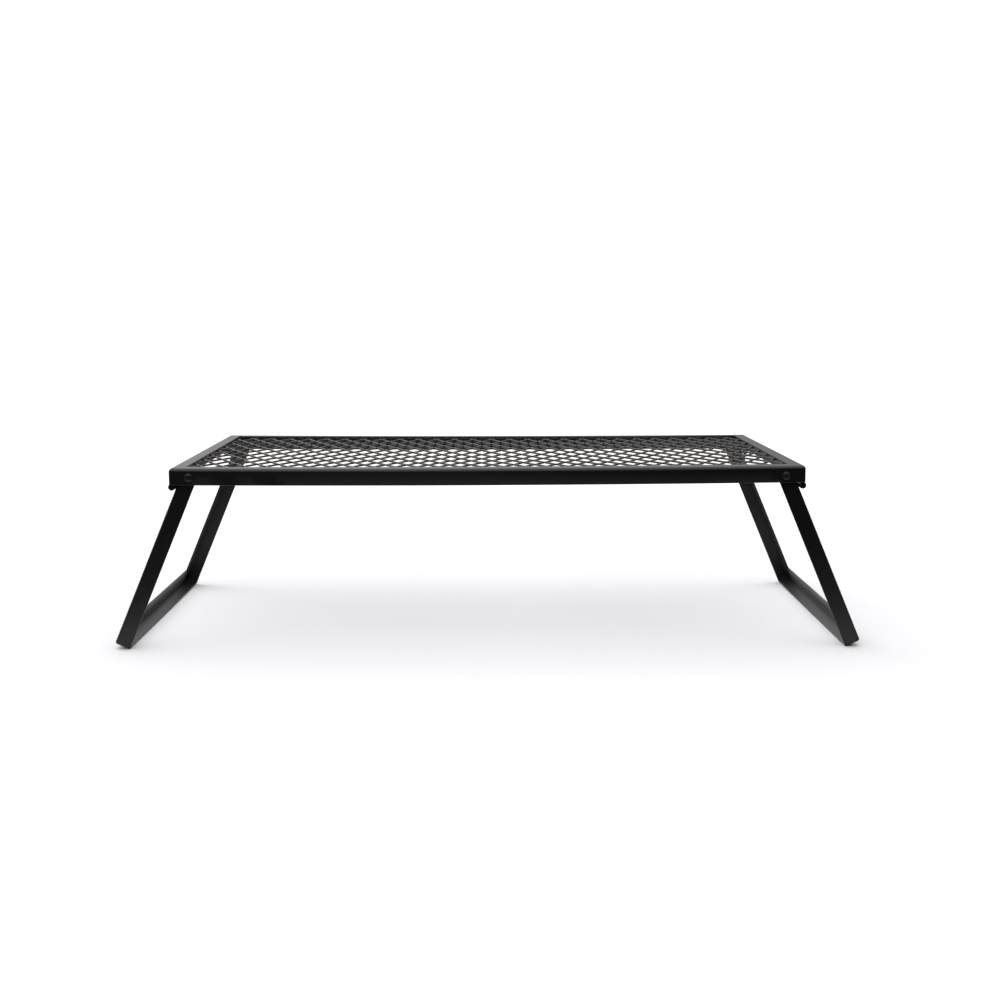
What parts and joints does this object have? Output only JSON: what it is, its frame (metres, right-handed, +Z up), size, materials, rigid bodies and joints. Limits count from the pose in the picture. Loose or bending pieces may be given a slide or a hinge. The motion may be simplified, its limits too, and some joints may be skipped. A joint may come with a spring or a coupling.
{
  "type": "folding side table",
  "caption": "Low folding side table with a steel-angle frame, an expanded-mesh top and U-shaped legs that fold inwards on rivets.",
  "frame": {"origin": "on the floor under the middle of the top, with the legs open", "axes": "+X along the length of the top, towards the right end; +Y from the front rail to the rear rail; +Z up"},
  "size_m": [0.7232, 0.358, 0.1778],
  "materials": {
    "frame_powder_coat": "satin black powder coat over bent steel angle",
    "mesh_powder_coat": "satin black powder coat over expanded steel mesh",
    "leg_powder_coat": "satin black powder coat over steel angle",
    "rivet_black": "black painted steel, slightly worn on the dome",
    "washer_zinc": "dark passivated zinc on steel"
  },
  "bodies": {
    "top_frame": {"front_rail": "frame_powder_coat", "rear_rail": "frame_powder_coat", "left_end_rail": "frame_powder_coat", "right_end_rail": "frame_powder_coat", "mesh_panel": "mesh_powder_coat", "front_left_stop": "frame_powder_coat", "front_right_stop": "frame_powder_coat", "rear_left_stop": "frame_powder_coat", "rear_right_stop": "frame_powder_coat", "front_left_rivet": "rivet_black", "front_right_rivet": "rivet_black", "rear_left_rivet": "rivet_black", "rear_right_rivet": "rivet_black", "front_left_spacer_washer": "washer_zinc", "front_right_spacer_washer": "washer_zinc", "rear_left_spacer_washer": "washer_zinc", "rear_right_spacer_washer": "washer_zinc", "front_left_tail_washer": "washer_zinc", "front_right_tail_washer": "washer_zinc", "rear_left_tail_washer": "washer_zinc", "rear_right_tail_washer": "washer_zinc"},
    "left_leg": {"left_leg_front_bar": "leg_powder_coat", "left_leg_rear_bar": "leg_powder_coat", "left_leg_foot_bar": "leg_powder_coat"},
    "right_leg": {"right_leg_front_bar": "leg_powder_coat", "right_leg_rear_bar": "leg_powder_coat", "right_leg_foot_bar": "leg_powder_coat"}
  },
  "joints": [
    {"name": "left_leg_fold", "type": "hinge", "parent": "top_frame", "child": "left_leg", "pos_m": [-0.2862, 0, 0.1678], "axis": [0, -1, 0], "range_deg": [0, 110]},
    {"name": "right_leg_fold", "type": "hinge", "parent": "top_frame", "child": "right_leg", "pos_m": [0.2862, 0, 0.1678], "axis": [0, 1, 0], "range_deg": [0, 110]}
  ]
}
